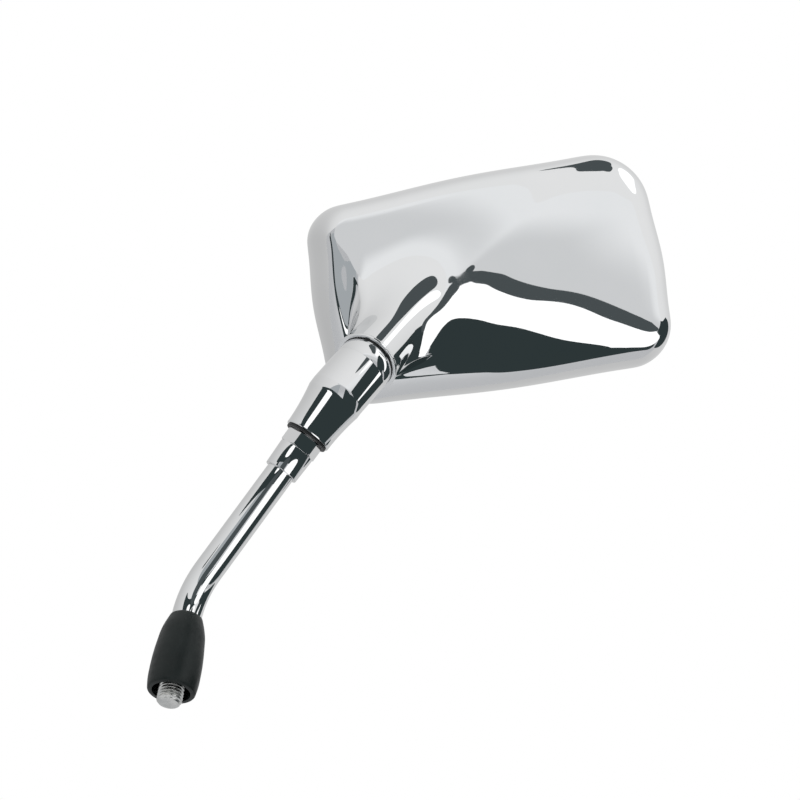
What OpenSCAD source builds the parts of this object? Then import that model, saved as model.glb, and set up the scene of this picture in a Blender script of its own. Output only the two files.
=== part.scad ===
// Motorcycle mirror, rider's left-hand side.
// Origin on the stud's axis at the lower lock nut's seat, +Z up, stem leaning to +X.

/* [Stem] */
// Outer diameter of the stem tube
stem_d = 12; // [11:0.5:13]
// Wall of the stem tube
stem_wall = 1.5; // [1:0.1:2]
// Angle of the stem's bend
bend_angle = 34; // [20:1:40]
// Height of the bend's corner above the seat
bend_z = 32; // [28:1:40]
// Radius of the bend at the tube's centre
bend_r = 38; // [30:1:44]
// Distance from the bend's corner to the arm's foot
stem_run = 79; // [60:1:110]

/* [Stud and nuts] */
// Thread diameter of both studs
thread_d = 10; // [8:1:10]
// Pitch diameter of both threads, where a nut or the arm holds them
thread_pitch_d = 9.2; // [7.2:0.1:9.4]
// Thread below the seat
stud_len = 18; // [16:1:24]
// Length of each stud's press-in shank
shank_len = 13; // [8:1:16]
// Hexagon size of both lock nuts, across flats
nut_af = 14; // [13.6:0.1:14]
// Height of the lower lock nut
lower_nut_h = 6; // [4:0.5:7]
// Bare thread between the lower nut and the tube
stud_neck = 3; // [1:0.5:4]
// Height of the arm's lock nut
arm_nut_h = 6.3; // [5:0.1:8]
// Length of the sleeve below the arm's lock nut
sleeve_len = 11; // [8:0.5:16]
// Diameter of the sleeve at its lower end
sleeve_d_low = 14.4; // [13.8:0.1:15]
// Diameter of the sleeve at its upper end
sleeve_d_top = 15.2; // [14.6:0.1:16]
// Thickness of the seal under the arm
seal_t = 1; // [0.6:0.1:2]
// Diameter of the seal under the arm
seal_d = 18.6; // [16.6:0.2:19]

/* [Boot] */
// Height of the boot's top above the seat
boot_top = 20.4; // [18:0.2:22]
// Length of the boot
boot_len = 33.4; // [31:0.2:38]
// Largest diameter of the boot
boot_d = 20.2; // [20:0.2:24]
// Diameter of the boot at its shoulder
boot_shoulder_d = 18.2; // [16.6:0.2:19.8]
// Length of the boot's shoulder
boot_shoulder = 9.5; // [7:0.5:12]
// Diameter of the boot's top lip
boot_lip_d = 13; // [12.8:0.1:14]
// Wall of the boot at its mouth
boot_wall = 1.6; // [1.2:0.1:1.7]
// Length of the boot's grip on the stem
boot_grip = 6; // [4:0.5:8]

/* [Arm] */
// Diameter of the arm's foot
foot_d = 20; // [19:0.5:22]
// Diameter of the arm's top and of its bend
arm_d = 24.2; // [24:0.1:26]
// Distance from the foot to the arm's mitre
arm_leg = 21; // [19:0.5:26]
// Distance from the mitre to the ball's centre
arm_stub = 19.5; // [18.5:0.5:24]
// Angle of the arm's bend
elbow_angle = 19.5; // [10:0.5:25]
// Turn of the arm's bend about the stem
elbow_turn = 127; // [0:1:359]
// Depth of the thread in the arm's foot
arm_thread = 13.5; // [10:0.5:14]
// Ball centre above the arm's mouth
mouth_drop = 3.5; // [3:0.1:4.5]

/* [Ball joint] */
// Diameter of the ball
ball_d = 14; // [12:0.5:14]
// Diameter of the ball's shank
ball_shank_d = 8; // [7:0.5:8]
// Free tilt of the ball before its shank meets the collar
ball_room = 20; // [16:0.5:21]
// Thickness of the nylon seats
liner_t = 1.4; // [1.2:0.1:1.5]
// Outer diameter of the collar's round end
collar_d = 24.2; // [24:0.1:24.2]
// Outer diameter of the collar's spigot
spigot_d = 22; // [21.6:0.1:22]
// Length of the collar's spigot above the neck's face
spigot_len = 13; // [13:0.5:16]
// Thickness of the neck's gasket
gasket_t = 0.8; // [0.6:0.1:1.2]
// Ball centre to the gasket's lower face
gasket_y = 1.1; // [0.8:0.1:2]
// Thickness of one disc spring
disc_t = 0.7; // [0.5:0.1:0.8]
// Dish of one disc spring
disc_dish = 0.4; // [0.3:0.05:0.5]
// Tilt of the head on its ball
head_tilt = 13; // [0:0.5:14]
// Direction of that tilt about the arm's axis
head_turn = 15; // [0:1:359]
// Turn of the head about its neck
head_spin = 2; // [-30:1:30]

/* [Housing] */
// Length of the top edge between its square corners
top_w = 154; // [130:1:170]
// Height at the arm's end between square corners
inner_h = 85.2; // [78:0.2:95]
// Height at the far end between square corners
outer_h = 98; // [88:1:110]
// Lean of both end edges
lean = 8.1; // [4:0.1:12]
// Top edge above the ball's centre
top_y = 74; // [68:0.5:80]
// Top corner beside the ball's centre
corner_x = 1.4; // [0:0.2:4]
// Corner radius at the top of the arm's end
r_top_inner = 15; // [12:1:18]
// Corner radius at the bottom of the arm's end
r_low_inner = 19; // [17:1:24]
// Corner radius at the bottom of the far end
r_low_outer = 17; // [14:1:20]
// Corner radius at the top of the far end
r_top_outer = 25; // [18:1:28]
// Outward bow of the long edges
edge_bow = 1.6; // [0:0.2:3]
// Ball centre above the rim
rim_depth = 37; // [35:0.5:42]
// Height of the housing's shoulder above the rim
shoulder_h = 24; // [22:0.5:25]
// Rise of the back between shoulder and neck
dome_r = 520; // [400:20:900]
// Wall of the housing
shell_wall = 1.2; // [1:0.1:1.6]
// Angle between the neck and the glass
neck_dip = 30; // [27:0.5:34]
// Direction of the neck across the back
neck_turn = 34; // [28:1:40]
// Diameter of the neck
neck_d = 25.8; // [25:0.1:27]
// Diameter of the neck's lip
lip_d = 27.4; // [26.8:0.1:28.4]
// Reach of the blend between the neck and the back
neck_blend = 20; // [12:1:26]
// Width of the neck's lip
lip_w = 1.8; // [1.4:0.1:2.4]

/* [Glass] */
// Thickness of the glass
glass_t = 2.5; // [2:0.1:3]
// Radius of the glass's curve
glass_r = 1200; // [900:50:2000]
// Width of the rubber rim around the glass
rim_w = 3.2; // [2.6:0.1:4.5]
// Depth of the rubber rim
rim_h = 8; // [7.5:0.5:10]
// Thickness of the foam behind the glass
pad_t = 3; // [2:0.5:4]

/* [Clearances] */
// Radial gap of pieces that turn in each other
run_gap = 0.05; // [0.03:0.01:0.08]
// Gap between the collar and the arm's cup
cup_gap = 0.1; // [0.08:0.01:0.2]
// Gap between the arm and the seal under it
foot_gap = 0.05; // [0.02:0.01:0.2]
// Gap around pieces that are laid in
lay_gap = 0.1; // [0.05:0.05:0.2]

/* [Hidden] */
$fn = 64;

chrome = [0.78, 0.79, 0.80];
zinc = [0.66, 0.67, 0.64];
rubber = [0.07, 0.08, 0.08];
nylon = [0.86, 0.84, 0.76];

stem_r = stem_d / 2;
bore_r = stem_r - stem_wall;
thread_r = thread_d / 2;
pitch_r = thread_pitch_d / 2;
bend_cut = bend_r * tan(bend_angle / 2);
tube_low = lower_nut_h + stud_neck;
nut_top = stem_run - foot_gap - seal_t;
nut_low = nut_top - arm_nut_h;
sleeve_low = nut_low - sleeve_len;
// The tube ends this far inside the sleeve
tube_top = nut_low - 1;
mitre_q = stem_run + arm_leg;
arm_r = arm_d / 2;

ball_r = ball_d / 2;
liner_in = ball_r + run_gap;
liner_out = liner_in + liner_t;
seat_r = liner_out + run_gap;
collar_r = collar_d / 2;
cup_r = collar_r + cup_gap;
spigot_r = spigot_d / 2;
face_y = gasket_y + gasket_t;
spigot_top = face_y + spigot_len;
// Polar angles from the neck's axis, at the ball's centre
collar_open = 180 - asin(ball_shank_d / 2 / seat_r) - ball_room;
liner_low = collar_open - 10;
liner_top = 95;
cap_low = 66;
cap_top = 18;
cup_y = seat_r * cos(cap_low);
disc_h = disc_t + disc_dish;
disc_in = ball_r * 0.6;
cup_top = spigot_top - 1.4 - 1.1 - 2 * disc_h;
ring_y = cup_top + 2 * disc_h;
ring_t = 1.1;
ring_deep = 0.6;

rim_z = -rim_depth;
shoulder_z = rim_z + shoulder_h;
lip_r = lip_d / 2;
neck_r = neck_d / 2;
neck_bore = spigot_r + run_gap;
neck_y = face_y + lip_w + 1.2;

// Places
module at_stem() { translate([0, 0, bend_z]) rotate([0, bend_angle, 0]) children(); }
module at_elbow() {
    at_stem() translate([0, 0, mitre_q]) rotate([0, 0, elbow_turn]) children();
}
module at_ball() { at_elbow() rotate([0, elbow_angle, 0]) translate([0, 0, arm_stub]) children(); }
module at_neck() {
    at_ball() rotate([0, 0, head_turn]) rotate([0, head_tilt, 0]) rotate([0, 0, head_spin]) children();
}
module at_head() {
    at_neck() rotate([0, -90 - neck_dip, 0]) rotate([0, 0, -neck_turn]) children();
}

// Points of an arc about the origin, from one polar angle to another
function arc(r, a0, a1, n) = [for (k = [0:n]) let(a = a0 + (a1 - a0) * k / n) [r * sin(a), r * cos(a)]];

// Outline of the housing: corners run anticlockwise from the low corner at the neck
corners = [
    [-corner_x - lean, top_y - inner_h],
    [top_w - corner_x - lean, top_y - outer_h],
    [top_w - corner_x, top_y],
    [-corner_x, top_y]];
radii = [r_low_inner, r_low_outer, r_top_outer, r_top_inner];
// Steps along each corner and along the edge that follows it
arc_steps = 8;
edge_steps = [18, 10, 18, 10];

function unit(v) = v / norm(v);
function edge_dir(i) = unit(corners[(i + 1) % 4] - corners[i]);
function edge_in(i) = let(d = edge_dir(i)) [-d[1], d[0]];
function corner_in(i) = let(a = edge_in((i + 3) % 4), b = edge_in(i)) (a + b) / (1 + a * b);
function shrunk_r(i, d) = max(radii[i] - 0.7 * d, 4);
function heading(v) = atan2(v[1], v[0]);
function corner_arc(i, d) = let(
        r = shrunk_r(i, d),
        c = corners[i] + corner_in(i) * (d + r),
        a0 = heading(-edge_in((i + 3) % 4)),
        a1 = heading(-edge_in(i)),
        turn = (a1 - a0 + 720) % 360)
    [for (k = [0:arc_steps]) let(a = a0 + turn * k / arc_steps) c + r * [cos(a), sin(a)]];
function edge_run(i, a, b) = [for (k = [1:edge_steps[i] - 1]) let(f = k / edge_steps[i])
    a + (b - a) * f - edge_in(i) * edge_bow * pow(sin(180 * f), 2)];
function outline(d) = [for (i = [0:3]) let(
        here = corner_arc(i, d),
        next = corner_arc((i + 1) % 4, d))
    each concat(here, edge_run(i, here[arc_steps], next[0]))];

// The neck's axis and the directions across it, in the head's frame
neck_dir = [cos(neck_dip) * cos(neck_turn), cos(neck_dip) * sin(neck_turn), -sin(neck_dip)];
neck_side = [sin(neck_turn), -cos(neck_turn), 0];
neck_back = cross(neck_side, neck_dir);
function around(p) = atan2(p * neck_side, p * neck_back);
function neck_point(y, r, a) = neck_dir * y + r * (cos(a) * neck_back + sin(a) * neck_side);
function lift(p, z) = [p[0], p[1], z];

// Control rings of the shell, moved inwards by d and with a neck of radius r.
// Each ring has the same number of points, so they join one to one.
// The neck's straight line would meet the back at a corner; the rings cut that corner off.
edge_inset = 4.5;
near_drop = 7;
neck_min = 7;
function toward(a, b, reach) = a + unit(b - a) * reach;
function shell_rings(d, r) = let(
        back_z = shoulder_z - d,
        top = outline(d + edge_inset),
        turn = [for (p = outline(edge_inset)) around(lift(p, shoulder_z))],
        all = [0:len(top) - 1],
        shoulder = [for (j = all) lift(top[j], back_z - near_drop * pow((1 - cos(turn[j])) / 2, 2))],
        neck = [for (a = turn) neck_point(neck_y, r, a)],
        run = [for (l = neck) let(t = (l[2] - back_z) / -neck_dir[2] - neck_min)
            neck_min + t / 2 + sqrt(t * t / 4 + 9)],
        corner = [for (j = all) neck[j] + neck_dir * run[j]],
        span = [for (j = all) norm(corner[j] - shoulder[j])],
        up = [for (j = all) min(neck_blend, 0.85 * run[j])],
        out = [for (j = all) min(neck_blend, 0.45 * span[j])])
    concat(
        [[for (p = outline(d)) lift(p, rim_z)],
         [for (p = outline(d + 0.1)) lift(p, rim_z + 6)],
         [for (p = outline(d + 0.8)) lift(p, rim_z + 12.5)],
         shoulder],
        [for (f = [0:2]) [for (j = all) let(
                near = 11 * span[j] / (span[j] + 22),
                x = near + (span[j] - out[j] - near) * f / 2)
            toward(shoulder[j], corner[j], x) + [0, 0, x * (span[j] - x) / (2 * dome_r)]]],
        [[for (j = all) corner[j] + 0.28 * (toward(corner[j], shoulder[j], out[j]) - corner[j])
            + 0.28 * up[j] * -neck_dir],
         [for (j = all) corner[j] - neck_dir * up[j]],
         [for (j = all) corner[j] - neck_dir * (up[j] + run[j]) / 2],
         neck]);

// Rings along a uniform cubic spline through the control rings, ends held
function spline_weights(t) = [pow(1 - t, 3), 3 * t * t * t - 6 * t * t + 4,
    -3 * t * t * t + 3 * t * t + 3 * t + 1, t * t * t] / 6;
function held(c, i) = let(m = len(c) - 1)
    i < 0 ? 2 * c[0] - c[-i] : (i > m ? 2 * c[m] - c[2 * m - i] : c[i]);
function smooth_rings(c, n) = [for (s = [0:(len(c) - 1) * n]) let(
        i = min(floor(s / n), len(c) - 2),
        w = spline_weights(s / n - i))
    w[0] * held(c, i - 1) + w[1] * held(c, i) + w[2] * held(c, i + 1) + w[3] * held(c, i + 2)];
function lip_ring(y, r, turn) = [for (a = turn) neck_point(y, r, a)];

module rings_solid(rings) {
    n = len(rings[0]);
    m = len(rings);
    polyhedron(
        points = [for (r = rings) each r],
        faces = [for (i = [0:m - 1], j = [0:n - 1]) let(
                a = i * n + j,
                b = i * n + (j + 1) % n,
                c = ((i + 1) % m) * n + (j + 1) % n,
                e = ((i + 1) % m) * n + j)
            each [[a, c, b], [a, e, c]]],
        convexity = 8);
}

module housing_shell() {
    turn = [for (p = outline(edge_inset)) around(lift(p, shoulder_z))];
    outer = smooth_rings(shell_rings(0, neck_r), 3);
    inner = smooth_rings(shell_rings(shell_wall, neck_bore), 2);
    n = len(inner) - 1;
    lip = [
        lip_ring(face_y + lip_w + 0.3, neck_r, turn),
        lip_ring(face_y + lip_w, neck_r + 0.2, turn),
        lip_ring(face_y + lip_w - 0.3, lip_r - 0.1, turn),
        lip_ring(face_y + lip_w - 0.6, lip_r, turn),
        lip_ring(face_y + 0.5, lip_r, turn),
        lip_ring(face_y + 0.2, lip_r - 0.12, turn),
        lip_ring(face_y, lip_r - 0.5, turn),
        lip_ring(face_y, neck_bore, turn)];
    color(chrome) at_head() rings_solid(concat(outer, lip, [for (k = [0:n]) inner[n - k]]));
}

// The glass is a slice of a ball: its far face is this much higher at a corner than in the middle
glass_x = (corners[1][0] + corners[3][0]) / 2;
glass_y = (corners[1][1] + corners[3][1]) / 2;
module glass_ball(drop, gap) {
    translate([glass_x, glass_y, rim_z + glass_r + drop]) sphere(r = glass_r + gap, $fn = 128);
}
module plate(d, z, h) { translate([0, 0, z]) linear_extrude(h) polygon(outline(d)); }
module curved_sheet(d, front, t, gap) {
    difference() {
        intersection() {
            plate(d, rim_z - 5, 30);
            glass_ball(front, gap);
        }
        glass_ball(front, -t - gap);
    }
}
// The shell's wall leans in by this much over the depth of the rubber rim
wall_lean = 0.35;
rim_in = shell_wall + wall_lean + lay_gap;
glass_in = rim_in + rim_w * 0.45;
module mirror_glass() {
    color([0.75, 0.80, 0.82]) at_head() curved_sheet(glass_in, 0.3, glass_t, 0);
}
module glass_rim() {
    color(rubber) at_head() difference() {
        plate(rim_in, rim_z, rim_h);
        plate(rim_in + rim_w, rim_z - 1, rim_h + 2);
        curved_sheet(glass_in - lay_gap, 0.3, glass_t, lay_gap);
    }
}
module backing_pad() {
    color([0.2, 0.2, 0.2]) at_head()
        curved_sheet(rim_in + rim_w + lay_gap, 0.3 + glass_t + lay_gap, pad_t, 0);
}

module ring_tube(r_in, r_out, y0, y1) {
    translate([0, 0, y0]) difference() {
        cylinder(r = r_out, h = y1 - y0);
        translate([0, 0, -1]) cylinder(r = r_in, h = y1 - y0 + 2);
    }
}
module neck_gasket() {
    color(rubber) at_neck() ring_tube(neck_bore, collar_r, gasket_y, face_y);
}

module neck_collar() {
    color(chrome) at_neck() rotate_extrude() polygon(concat(
        arc(collar_r, collar_open, acos(gasket_y / collar_r), 24),
        [[spigot_r, gasket_y], [spigot_r, spigot_top - 0.4], [spigot_r - 0.4, spigot_top],
         [seat_r, spigot_top], [seat_r, ring_y + ring_t], [seat_r + ring_deep, ring_y + ring_t],
         [seat_r + ring_deep, ring_y], [seat_r, ring_y]],
        arc(seat_r, 90, collar_open, 12)));
}
module round_liner(a0, a1) {
    rotate_extrude() polygon(concat(arc(liner_out, a0, a1, 10), arc(liner_in, a1, a0, 10)));
}
module ball_liner() { color(nylon) at_neck() round_liner(liner_top, liner_low); }
module cap_liner() { color(nylon) at_neck() round_liner(cap_top, cap_low); }
module pressure_cup() {
    color(zinc) at_neck() difference() {
        translate([0, 0, cup_y]) cylinder(r = seat_r - run_gap, h = cup_top - cup_y);
        sphere(r = seat_r);
        cylinder(r = disc_in - 1, h = cup_top + 1);
    }
}
module disc_spring(y, way) {
    a = way > 0 ? y : y + disc_dish;
    b = way > 0 ? y + disc_dish : y;
    rotate_extrude() polygon([[disc_in, b], [disc_in, b + disc_t],
        [seat_r - 4 * run_gap, a + disc_t], [seat_r - 4 * run_gap, a]]);
}
module disc_springs() {
    color(zinc) at_neck() {
        disc_spring(cup_top, 1);
        disc_spring(cup_top + disc_h, -1);
    }
}
module retainer_ring() {
    color(zinc) at_neck() difference() {
        ring_tube(disc_in + 2.4, seat_r + ring_deep - run_gap, ring_y, ring_y + ring_t - run_gap);
        translate([0, -1.5, ring_y - 1]) cube([2 * seat_r, 3, ring_t + 2]);
    }
}
module ball_stud() {
    color(zinc) at_ball() union() {
        sphere(r = ball_r);
        translate([0, 0, -arm_stub - 1.5]) cylinder(d = ball_shank_d, h = arm_stub + 1.5);
    }
}

// Radius of the arm's leg at a share t of its length
function leg_r(t) = foot_d / 2 + (arm_r - foot_d / 2) * pow(t, 1.8);
taper_share = 0.88;
leg_steps = 14;
module arm_leg_solid() {
    rotate_extrude() polygon(concat(
        [[0, 0], [foot_d / 2 - 0.4, 0], [foot_d / 2, 0.4]],
        [for (k = [1:leg_steps]) [leg_r(k / leg_steps), arm_leg * taper_share * k / leg_steps]],
        [[arm_r, arm_leg + arm_r], [0, arm_leg + arm_r]]));
}
module mitre_half(side) {
    rotate([0, elbow_angle / 2, 0]) translate([-40, -40, side > 0 ? 0 : -80]) cube(80);
}
module arm_elbow() {
    color(chrome) at_elbow() difference() {
        union() {
            intersection() {
                translate([0, 0, -arm_leg]) arm_leg_solid();
                mitre_half(-1);
            }
            intersection() {
                rotate([0, elbow_angle, 0]) translate([0, 0, -arm_r])
                    cylinder(r = arm_r, h = arm_stub + arm_r - mouth_drop);
                mitre_half(1);
            }
        }
        translate([0, 0, -arm_leg - 1]) cylinder(r = pitch_r + run_gap, h = arm_thread + 1);
        rotate([0, elbow_angle, 0]) {
            translate([0, 0, arm_stub]) sphere(r = cup_r);
            translate([0, 0, -1.5]) cylinder(d = ball_shank_d, h = arm_stub);
        }
    }
}
module arm_seal() {
    color(rubber) at_stem() difference() {
        translate([0, 0, nut_top]) cylinder(d = seal_d, h = seal_t);
        translate([0, 0, nut_top - 1]) cylinder(r = pitch_r + run_gap, h = seal_t + 2);
    }
}

// Hexagon nut with both faces chamfered
module hex_nut(h) {
    corner_r = nut_af / sqrt(3);
    bevel = 0.8;
    difference() {
        intersection() {
            cylinder(r = corner_r, h = h, $fn = 6);
            rotate_extrude() polygon([[0, 0], [nut_af / 2, 0], [corner_r + 0.1, bevel],
                [corner_r + 0.1, h - bevel], [nut_af / 2, h], [0, h]]);
        }
        translate([0, 0, -1]) cylinder(r = pitch_r + run_gap, h = h + 2);
    }
}
module arm_lock_nut() { color(chrome) at_stem() translate([0, 0, nut_low]) hex_nut(arm_nut_h); }
module lower_lock_nut() { color(zinc) hex_nut(lower_nut_h); }
module stem_sleeve() {
    color(chrome) at_stem() difference() {
        translate([0, 0, sleeve_low]) rotate_extrude() polygon([
            [0, 0], [sleeve_d_low / 2 - 0.4, 0], [sleeve_d_low / 2, 0.4],
            [sleeve_d_top / 2, sleeve_len], [0, sleeve_len]]);
        translate([0, 0, sleeve_low - 1]) cylinder(r = stem_r, h = tube_top - sleeve_low + 1);
        translate([0, 0, sleeve_low]) cylinder(r = pitch_r + run_gap, h = sleeve_len + 1);
    }
}
module arm_stud() {
    end = stem_run + arm_thread - 1.5;
    color(zinc) at_stem() {
        translate([0, 0, tube_top - shank_len]) cylinder(r = bore_r, h = shank_len);
        translate([0, 0, tube_top]) cylinder(r = pitch_r, h = end - 1 - tube_top);
        translate([0, 0, end - 1]) cylinder(r1 = pitch_r, r2 = pitch_r - 0.8, h = 1);
    }
}
// Places along the tube's centre line, each with its lean
bend_steps = 10;
stem_line = concat(
    [[[0, 0, tube_low], 0]],
    [for (k = [0:bend_steps]) let(a = bend_angle * k / bend_steps)
        [[bend_r * (1 - cos(a)), 0, bend_z - bend_cut + bend_r * sin(a)], a]],
    [[[tube_top * sin(bend_angle), 0, bend_z + tube_top * cos(bend_angle)], bend_angle]]);
tube_sides = 48;
function tube_ring(place, r) = [for (k = [0:tube_sides - 1]) let(t = k * 360 / tube_sides)
    place[0] + r * cos(t) * [cos(place[1]), 0, -sin(place[1])] + [0, r * sin(t), 0]];
module stem() {
    n = len(stem_line) - 1;
    color(chrome) rings_solid(concat(
        [for (p = stem_line) tube_ring(p, stem_r)],
        [for (k = [0:n]) tube_ring(stem_line[n - k], bore_r / cos(180 / tube_sides))]));
}
module mounting_stud() {
    bevel = 0.9;
    color(zinc) {
        translate([0, 0, -stud_len]) cylinder(r1 = thread_r - bevel, r2 = thread_r, h = bevel);
        translate([0, 0, bevel - stud_len]) cylinder(r = thread_r, h = stud_len - bevel);
        cylinder(r = pitch_r, h = tube_low);
        translate([0, 0, tube_low]) cylinder(r = bore_r, h = shank_len);
    }
}

// Outer radius of the boot at a distance below its top
boot_r = boot_d / 2;
lip_top_r = boot_lip_d / 2;
shoulder_r = boot_shoulder_d / 2;
function boot_out(x) = x < boot_shoulder
    ? lip_top_r + (shoulder_r - lip_top_r) * sin(72 * x / boot_shoulder) / sin(72)
    : shoulder_r + (boot_r - shoulder_r) * sin(90 * min((x - boot_shoulder) / 14, 1))
        - 0.7 * pow(max(x - boot_len + 7, 0) / 7, 2);
boot_steps = 20;
// The boot's top stays on the straight part of the tube
boot_high = min(boot_top, bend_z - bend_cut + 1.2);
module rubber_boot() {
    mouth = boot_high - boot_len;
    cave_r = boot_r - boot_wall;
    color(rubber) rotate_extrude() polygon(concat(
        [[stem_r + run_gap, boot_high]],
        [for (k = [0:boot_steps]) let(x = 0.3 + (boot_len - 0.8) * k / boot_steps)
            [boot_out(x), boot_high - x]],
        [[boot_out(boot_len) - 0.5, mouth], [cave_r - 0.9, mouth], [cave_r - 0.5, mouth + 1.5],
         [cave_r, mouth + 5], [cave_r, tube_low + 0.5],
         [stem_r + 0.6, boot_high - boot_grip - 0.6], [stem_r + run_gap, boot_high - boot_grip]]));
}

housing_shell();
mirror_glass();
glass_rim();
backing_pad();
neck_gasket();
neck_collar();
ball_liner();
cap_liner();
pressure_cup();
disc_springs();
retainer_ring();
ball_stud();
arm_elbow();
arm_seal();
arm_lock_nut();
stem_sleeve();
arm_stud();
stem();
mounting_stud();
lower_lock_nut();
rubber_boot();
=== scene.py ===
import math

import bmesh
import bpy
from mathutils import Matrix, Vector


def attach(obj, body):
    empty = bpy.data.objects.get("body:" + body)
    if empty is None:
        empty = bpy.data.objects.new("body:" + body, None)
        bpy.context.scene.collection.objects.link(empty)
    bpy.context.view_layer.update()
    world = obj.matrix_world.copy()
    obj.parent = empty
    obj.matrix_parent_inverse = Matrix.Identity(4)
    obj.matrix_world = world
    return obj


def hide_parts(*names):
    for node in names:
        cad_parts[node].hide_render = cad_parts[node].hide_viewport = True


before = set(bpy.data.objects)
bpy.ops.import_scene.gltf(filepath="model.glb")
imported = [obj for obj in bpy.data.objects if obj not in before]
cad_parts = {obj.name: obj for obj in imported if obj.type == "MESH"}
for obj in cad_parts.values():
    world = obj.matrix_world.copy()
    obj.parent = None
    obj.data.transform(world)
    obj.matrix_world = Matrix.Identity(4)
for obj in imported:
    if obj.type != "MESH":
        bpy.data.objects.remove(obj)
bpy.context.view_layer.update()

# Lengths are in millimetres and angles in degrees; pieces are brought to metres when they are placed.
METRES = 0.001
MERGE = 1e-4

# Stem
STEM_R = 6.0
STEM_BORE = 4.5
BEND = 34.0
BEND_Z = 32.0
BEND_R = 38.0
TUBE_LOW = 9.0
STEM_RUN = 79.0
FOOT_GAP = 0.05
SEAL = 1.0
SEAL_R = 9.3
ARM_NUT = 6.3
NUT_TOP = STEM_RUN - FOOT_GAP - SEAL
NUT_LOW = NUT_TOP - ARM_NUT
SLEEVE = 11.0
SLEEVE_LOW_R = 7.2
SLEEVE_TOP_R = 7.6
SLEEVE_CAP = 1.0
TUBE_TOP = NUT_LOW - SLEEVE_CAP

# Studs and nuts
THREAD_R = 5.0
HELD_R = 4.6
HELD_BORE = HELD_R + 0.05
THREAD_PITCH = 1.25
THREAD_DEPTH = 0.62
THREAD_TURNS = 22
THREAD_CHAMFER = 0.9
STUD_LOW = -18.0
SHANK = 13.0
NUT_FLATS = 14.0
NUT_SLOPE = 30.0
NUT_MOUTH = 0.5

# Boot
BOOT_TOP = 20.4
BOOT_LEN = 33.4
BOOT_SHOULDER_R = 9.1
BOOT_SHOULDER = 9.5
BOOT_SWELL = 72.0
BOOT_R = 10.1
BOOT_FULL = 14.0
BOOT_TUCK = 0.7
BOOT_TUCK_LEN = 7.0
BOOT_LIP_R = 6.5
BOOT_WALL = 1.6
BOOT_GRIP = 6.0

# Arm and ball joint
FOOT_R = 10.0
ARM_R = 12.1
ARM_LEG = 21.0
ARM_TAPER = 0.88
ARM_FLARE = 1.8
ARM_TURN = 127.0
ARM_STUB = 19.5
ELBOW = 19.5
MITRE_ROUND = 0.35
MOUTH_DROP = 3.5
CUP_R = 12.2
BALL_SHANK_R = 4.0
SOCKET_R = 8.5
SOCKET_EDGE = 132.0
SPIGOT = 13.0
SPIGOT_R = 11.0
GASKET_Y = 1.1
GASKET = 0.8
FACE_Y = GASKET_Y + GASKET
HEAD_TURN = 15.0
HEAD_TILT = 13.0
HEAD_SPIN = 2.0

# Housing
CORNER_X = 1.4
TOP_W = 154.0
INNER_H = 85.2
OUTER_H = 98.0
LEAN = 8.1
TOP_Y = 74.0
CORNER_RADII = (19.0, 17.0, 25.0, 15.0)
CORNER_SHRINK = 0.7
CORNER_LEAST = 4.0
EDGE_BOW = 1.6
RIM_Z = -37.0
SHOULDER = 24.0
DOME_R = 520.0
WALL = 1.2
NECK_DIP = 30.0
NECK_TURN = 34.0
NECK_R = 12.9
NECK_BORE = 11.05
LIP_R = 13.7
LIP_W = 1.8
LIP_TOP = FACE_Y + LIP_W
NECK_Y = LIP_TOP + 1.2
EDGE_INSET = 4.5
EDGE_REACH = 11.0
NEAR_DROP = 7.0
NECK_MIN = 7.0
NECK_EASE = 9.0
NECK_BLEND = 20.0
BLEND_PULL = 0.28

# Glass
GLASS = 2.5
GLASS_R = 1200.0
GLASS_FRONT = 0.3
GLASS_BEVEL = 0.3
RIM_W = 3.2
RIM_H = 8.0
GROOVE = 0.45
LAY_GAP = 0.1
WALL_LEAN = 0.35
RIM_IN = WALL + WALL_LEAN + LAY_GAP
GLASS_IN = RIM_IN + RIM_W * GROOVE

# The camera, the lamp and the floor are in metres.
CAMERA_AT = (0.5136, -0.5697, -0.4230)
CAMERA_RIGHT = Vector((0.8455, 0.5201, 0.1208))
CAMERA_UP = Vector((0.2316, -0.5611, 0.7947))
LENS = 100.0
SENSOR = 36.0
KEY_AT = Vector((0.9, -0.9, 0.9))
KEY_AIM = Vector((0.06, 0.0, 0.08))
KEY_SIZE = 0.8
KEY_POWER = 12
FLOOR_AT = (0.06, 0.0, -0.62)
FLOOR_REACH = 12
FLOOR_TONE = (0.8, 0.8, 0.8, 1)
WHITE = (1, 1, 1, 1)
SOFT_LIGHT = (0.75, 0.76, 0.78, 1)
ROOM_TONE = 0.80
ROOM_SLOPE = (0.20, -0.08, 0.05)


def shift(x=0.0, y=0.0, z=0.0):
    return Matrix.Translation((x, y, z))


def turn(angle, axis):
    return Matrix.Rotation(math.radians(angle), 4, axis)


SEAT = Matrix.Identity(4)
STEM = shift(z=BEND_Z) @ turn(BEND, "Y")
ELBOW_AT = STEM @ shift(z=STEM_RUN + ARM_LEG) @ turn(ARM_TURN, "Z")
BALL = ELBOW_AT @ turn(ELBOW, "Y") @ shift(z=ARM_STUB)
NECK = BALL @ turn(HEAD_TURN, "Z") @ turn(HEAD_TILT, "Y") @ turn(HEAD_SPIN, "Z")
HEAD = NECK @ turn(-90 - NECK_DIP, "Y") @ turn(-NECK_TURN, "Z")


# Surfaces

def shader(name):
    """A new material with its nodes and its main shader."""
    material = bpy.data.materials.new(name)
    material.use_nodes = True
    tree = material.node_tree
    return material, tree, tree.nodes["Principled BSDF"]


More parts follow.
